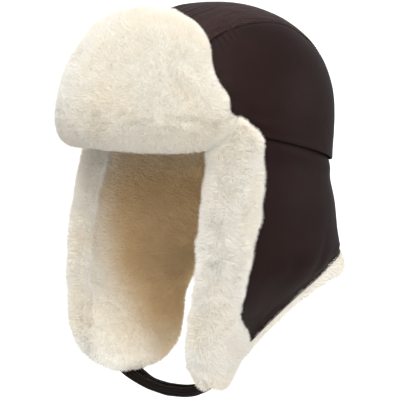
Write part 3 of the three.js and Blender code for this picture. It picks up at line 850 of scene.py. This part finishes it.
def wool_base(name, wool, material):
    """The wool's body under its fibre tips: a node's form drawn in by the pile's length where it is open.
    It is returned with what the fibres need at each of its points."""
    node = wool["node"]
    mesh = rounded(node_mesh(node), wool["levels"])
    points, normals = places(mesh)
    away, covered, joins, lean, apart = wool_contacts(node, points, normals)
    loose = smoothstep(OPEN["pressed"], OPEN["free"], away)
    points = points + lean * (JOIN["share"] * np.minimum(apart, JOIN["most"]) * joins)[:, None]
    lumps, ruffle = lumps_and_ruffle(wool, points)
    points = points + normals * (loose * lumps)[:, None]
    points = points - normals * (loose * wool["inset"] * MM)[:, None]
    ends = skirt_ends()
    # depth is painted shade: tan deep inside the linings, grey low on the turned-up flap
    depth = np.zeros(len(points))
    if "lining" in node:
        depth = inside_shade(points, normals, ends)
    if node == "skirt_lining":
        points = run_under_cuff(hem_bulge(points, ends), normals, ends)
    if node == "front_flap":
        points = full_shoulder(points, away)
        depth = low_painted_shade(points)
    else:
        points = flap_ends(points, "cuff" in node)
    if "cuff" in node:
        points = slim_nose(points)
    move(mesh, points)
    for face in mesh.polygons:
        face.use_smooth = True
    write_values(mesh, "pile", np.full(len(points), BASE_TONE))
    write_values(mesh, "depth", depth)
    piece = shown(name, mesh, material)
    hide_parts(node)
    swirl = np.stack([roughness_field(points, SWIRL_SIZE, 11 + axis) for axis in range(3)], 1)
    fields = {
        "grows": (1.0 - covered) * (1 + JOIN["denser"] * joins), "open": loose, "depth": depth,
        "lean": lean * joins[:, None], "joins": joins, "swirl": swirl, "ruffle": ruffle,
    }
    return piece, fields


def write_values(mesh, name, values):
    layer = mesh.attributes.new(name, "FLOAT", "POINT")
    layer.data.foreach_set("value", values.astype(np.float32))


# A blade's length as a share of the pile's: where it is pressed, what it gains in the open or at a join, and
# how it varies
LENGTH = {"pressed": 0.65, "gain": 0.35, "join": 1.6, "vary": 0.2, "least": -2, "most": 1.5}
# Its direction: how strongly it follows the surface and the lean to other wool, and its swirl where it is calm
# and ruffled
WAY = {"normal": 1.25, "lean": 1.1, "scatter_most": 2, "calm": 0.3, "ruffled": 1.4}
# Its tuft: how many blades share one, and how far their tips draw together
TUFT = {"blades": 60, "fewest": 8, "least": 0.02, "calm": 0.3}
# Its width as a share of its row's, how much its flat side turns and how deep its root goes, its tones at the
# foot and the tip, and how bare a patch must be for it to grow there
BLADE = {
    "narrow": 0.7, "wide": 1.2, "turn": 0.3, "root": 0.4 * MM, "foot_tone": 0.3, "tip_tones": (0.7, 1),
    "bare": 0.3,
}


def unit(vectors):
    return vectors / np.maximum(np.linalg.norm(vectors, axis=1), 1e-6)[:, None]


def wool_pile(name, wool, count, base, fields, material, seed):
    """Fibre tips as slim blades, drawn together into small tufts and joined into one mesh."""
    rng = np.random.default_rng(SEED + seed)
    mesh = base.data
    points, normals = places(mesh)
    mesh.calc_loop_triangles()
    corners = np.empty(len(mesh.loop_triangles) * 3, dtype=np.int64)
    mesh.loop_triangles.foreach_get("vertices", corners)
    corners = corners.reshape(-1, 3)
    a, b, c = (points[corners[:, i]] for i in range(3))
    area = np.linalg.norm(np.cross(b - a, c - a), axis=1) / 2
    wanted = fields["grows"][corners].mean(1)
    weight = area * np.where(wanted > BLADE["bare"], wanted, 0)
    chosen = rng.choice(len(corners), count, p=weight / weight.sum())
    u, v = rng.random(count), rng.random(count)
    fold = u + v > 1
    u[fold], v[fold] = 1 - u[fold], 1 - v[fold]
    share = np.stack([1 - u - v, u, v], 1)
    picked = corners[chosen]

    def at_root(values):
        wide = values[picked]
        return (wide * (share[:, :, None] if wide.ndim == 3 else share)).sum(1)

    root = at_root(points)
    normal = unit(at_root(normals))
    ruffle = at_root(fields["ruffle"])
    stands = np.maximum(at_root(fields["open"]), LENGTH["join"] * at_root(fields["joins"]))
    length = wool["pile"] * MM * (LENGTH["pressed"] + LENGTH["gain"] * stands)
    length *= np.exp(LENGTH["vary"] * np.clip(rng.normal(size=count), LENGTH["least"], LENGTH["most"]))
    scatter = np.clip(rng.normal(size=(count, 3)), -WAY["scatter_most"], WAY["scatter_most"])
    swirl = (wool["swirl"] * (WAY["calm"] + WAY["ruffled"] * ruffle))[:, None] * at_root(fields["swirl"])
    way = WAY["normal"] * normal + wool["loose"] * scatter + WAY["lean"] * at_root(fields["lean"]) + swirl
    way[:, 2] -= wool["droop"]
    way = unit(way)
    tip = root + way * length[:, None]
    heads = rng.choice(count, max(count // TUFT["blades"], TUFT["fewest"]), replace=False)
    tufts = point_tree(root[heads])
    mine = heads[np.array([tufts.find(p)[1] for p in root])]
    pull = rng.uniform(TUFT["least"], 1, count) * wool["clump"] * (TUFT["calm"] + ruffle)
    tip += (tip[mine] - tip) * pull[:, None]
    side = unit(unit(np.cross(normal, way)) + BLADE["turn"] * rng.normal(size=(count, 3)))
    half = side * (wool["width"] / 2 * MM * rng.uniform(BLADE["narrow"], BLADE["wide"], count))[:, None]
    foot = root - way * BLADE["root"]
    ends = np.stack([foot - half, foot + half, tip], 1).reshape(-1, 3)
    made = bpy.data.meshes.new(name)
    made.vertices.add(3 * count)
    made.vertices.foreach_set("co", ends.ravel())
    made.loops.add(3 * count)
    made.loops.foreach_set("vertex_index", np.arange(3 * count, dtype=np.int32))
    made.polygons.add(count)
    made.polygons.foreach_set("loop_start", np.arange(0, 3 * count, 3, dtype=np.int32))
    made.update(calc_edges=True)
    foot_tone = np.full(count, BLADE["foot_tone"])
    tip_tone = rng.uniform(*BLADE["tip_tones"], count)
    write_values(made, "pile", np.stack([foot_tone, foot_tone, tip_tone], 1).ravel())
    # Each blade carries the painted shade of its root
    write_values(made, "depth", np.repeat(at_root(fields["depth"]), 3))
    piece = shown(name, made, material)
    return piece


# Wool pieces: rounding levels, how far the body is drawn in, pile length, height and size of its lumps, number
# of blades, blade width, how far they sag, scatter and swirl, and how far their tips draw together, with
# lengths in millimetres
WOOL = (
    {"node": "front_flap", "levels": 2, "inset": 2.0, "pile": 3.5, "lump": 0.8, "lump_size": 15,
     "blades": 190000, "width": 0.48, "droop": 0.22, "loose": 0.22, "swirl": 0.22, "clump": 0.14},
    {"node": "ear_cuff_left", "levels": 2, "inset": 2.8, "pile": 5.2, "lump": 2.6, "lump_size": 11,
     "blades": 160000, "width": 0.5, "droop": 0.2, "loose": 0.4, "swirl": 0.42, "clump": 0.32},
    {"node": "ear_cuff_right", "levels": 2, "inset": 2.8, "pile": 4.6, "lump": 1.6, "lump_size": 12,
     "blades": 106000, "width": 0.5, "droop": 0.2, "loose": 0.36, "swirl": 0.25, "clump": 0.18},
    {"node": "skirt_lining", "levels": 2, "inset": 1.9, "pile": 3.4, "lump": 1.0, "lump_size": 15,
     "blades": 180000, "width": 0.6, "droop": 0.2, "loose": 0.25, "swirl": 0.25, "clump": 0.22},
    {"node": "crown_lining", "levels": 1, "inset": 2.2, "pile": 3.8, "lump": 0.5, "lump_size": 15,
     "blades": 50000, "width": 0.8, "droop": 0.1, "loose": 0.25, "swirl": 0.3, "clump": 0.3},
)


def build_wool(materials):
    for seed, wool in enumerate(WOOL):
        node = wool["node"]
        slot = "lining_wool" if "lining" in node else "flap_wool"
        base, fields = wool_base(node + "_wool", wool, materials[slot])
        count = wool["blades"] // 1
        wool_pile(node + "_pile", wool, count, base, fields, materials[slot], seed)


# Strap

STRAP_WIDTH = 9 * MM
STRAP_RIBS = 4
STRAP_RIB_HEIGHT = 0.5 * MM
STRAP_RIB_CUTS = 4
# Its plain border and the longest edge that still runs along it, as shares of its width
STRAP_BORDER = 0.06
ALONG_MOST = 0.8


def mark_across(bm):
    """Marks one long side of a strap 0 and the other 1, and returns the edges that run across it."""
    across = bm.verts.layers.float.new("across")
    bm.verts.ensure_lookup_table()
    first = {bm.verts[0]}
    queue = [bm.verts[0]]
    while queue:
        vert = queue.pop()
        for edge in vert.link_edges:
            other = edge.other_vert(vert)
            if edge.calc_length() < ALONG_MOST * STRAP_WIDTH and other not in first:
                first.add(other)
                queue.append(other)
    for vert in bm.verts:
        vert[across] = 0.0 if vert in first else 1.0
    return [edge for edge in bm.edges if (edge.verts[0] in first) != (edge.verts[1] in first)]


def build_strap(materials):
    """Two layers of flat ribbed strap with soft edges, from the nodes' own routes."""
    for layer in ("outer", "inner"):
        bm = node_mesh("chin_strap_" + layer)
        cuts = STRAP_RIB_CUTS * STRAP_RIBS - 1
        bmesh.ops.subdivide_edges(bm, edges=mark_across(bm), cuts=cuts, use_grid_fill=True)
        mesh = rounded(bm, 1)
        points, normals = places(mesh)
        across = np.empty(len(points))
        mesh.attributes["across"].data.foreach_get("value", across)
        from_side = np.minimum(across, 1 - across)
        ribs = np.cos(2 * math.pi * STRAP_RIBS * across) * smoothstep(0, STRAP_BORDER, from_side)
        move(mesh, points - normals * (STRAP_RIB_HEIGHT * ribs)[:, None])
        for face in mesh.polygons:
            face.use_smooth = True
        piece = shown("strap_" + layer, mesh, materials["strap_leather"])
        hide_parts("chin_strap_" + layer)


# Studio

FLOOR_DROP = 1.15
FLOOR_HALF = 400
FLOOR_GLOW = 0.08
FLOOR_TONE = 0.6
WORLD_LIGHT = 0.52
BACKDROP = 1.0
STUDIO_LIGHTS = (
    {"name": "overhead", "at": (0.3, -0.5, 2.3), "size": 2.2, "power": 40},
    {"name": "key", "at": (2.0, -1.3, 1.1), "size": 1.5, "power": 48},
    {"name": "low_fill", "at": (0.95, -1.45, -0.6), "size": 0.9, "power": 8},
    {"name": "right_rim", "at": (1.3, 1.5, 0.3), "size": 0.9, "power": 6},
)


def brighter_to_camera(tree, seen, cast):
    """A strength that is one value to the camera and another for the light that it casts."""
    rays = add(tree, "ShaderNodeLightPath")
    return add(tree, "ShaderNodeMapRange", {"To Min": cast, "To Max": seen}, {"Value": (rays, "Is Camera Ray")})


def build_studio():
    bm = bmesh.new()
    bmesh.ops.create_grid(bm, x_segments=1, y_segments=1, size=FLOOR_HALF)
    bmesh.ops.translate(bm, verts=bm.verts, vec=(0, 0, -FLOOR_DROP))
    mesh = bpy.data.meshes.new("floor")
    bm.to_mesh(mesh)
    bm.free()
    material, tree = new_material("matte white floor")
    shader = add(
        tree, "ShaderNodeBsdfPrincipled",
        {
            "Base Color": (FLOOR_TONE, FLOOR_TONE, FLOOR_TONE, 1), "Roughness": 1.0, "Specular IOR Level": 0.0,
            "Emission Color": (1, 1, 1, 1),
        },
        {"Emission Strength": (brighter_to_camera(tree, BACKDROP, FLOOR_GLOW), "Result")},
    )
    add(tree, "ShaderNodeOutputMaterial", None, {"Surface": (shader, "BSDF")})
    mesh.materials.append(material)
    floor = bpy.data.objects.new("floor", mesh)
    bpy.context.scene.collection.objects.link(floor)
    world = bpy.data.worlds.new("studio")
    world.use_nodes = True
    tree = world.node_tree
    tree.nodes.clear()
    strength = brighter_to_camera(tree, BACKDROP, WORLD_LIGHT)
    sky = add(tree, "ShaderNodeBackground", {"Color": (1, 1, 1, 1)}, {"Strength": (strength, "Result")})
    add(tree, "ShaderNodeOutputWorld", None, {"Surface": (sky, "Background")})
    bpy.context.scene.world = world
    for light in STUDIO_LIGHTS:
        data = bpy.data.lights.new(light["name"], "AREA")
        data.shape = "SQUARE"
        data.size = light["size"]
        data.energy = light["power"]
        lamp = bpy.data.objects.new(light["name"], data)
        lamp.location = light["at"]
        lamp.rotation_euler = (Vector(light["at"]) - VIEW_TARGET).to_track_quat("Z", "Y").to_euler()
        bpy.context.scene.collection.objects.link(lamp)
    bpy.context.scene.view_settings.view_transform = "Standard"


place_camera()
finishes = {
    # The crown's leather is a lighter copy of the sides' leather: painted light on the top panel, which faces
    # the lamps above
    "crown_leather": nappa_leather("nappa leather, crown, painted lighter", "#1F1412", "#3A2A29", 0.5 * MM, 6 * MM, 0.12),
    "side_leather": nappa_leather("nappa leather, sides", "#1C1110", "#261918", 0.4 * MM),
    "cut_skin": cut_skin("cut edge of tanned skin"),
    # The outside wool's inner colour is painted shade, greying the turned-up flap low down
    "flap_wool": sheared_wool("sheared wool, outside with painted shade", "#FBF7EE", "#FFFEFA", "#DCD6CB", "#FFF2DA", 0.3),
    # The lining wool's inner colour is painted shade, a tan deep inside the cap
    "lining_wool": sheared_wool("sheared wool, lining with painted shade", "#FBF7EE", "#FFFEFA", "#EDD7AF", "#FFF2DA", 0.3),
    "strap_leather": nappa_leather("stitched strap leather", "#080403", "#120B0A", 0.2 * MM, 0.0, 0.25),
    "thread": waxed_thread("waxed thread", "#1C1210", "#3B2A24"),
}
top_panel = build_leather(finishes)
build_stitches(top_panel, finishes["thread"])
build_wool(finishes)
build_strap(finishes)
build_studio()
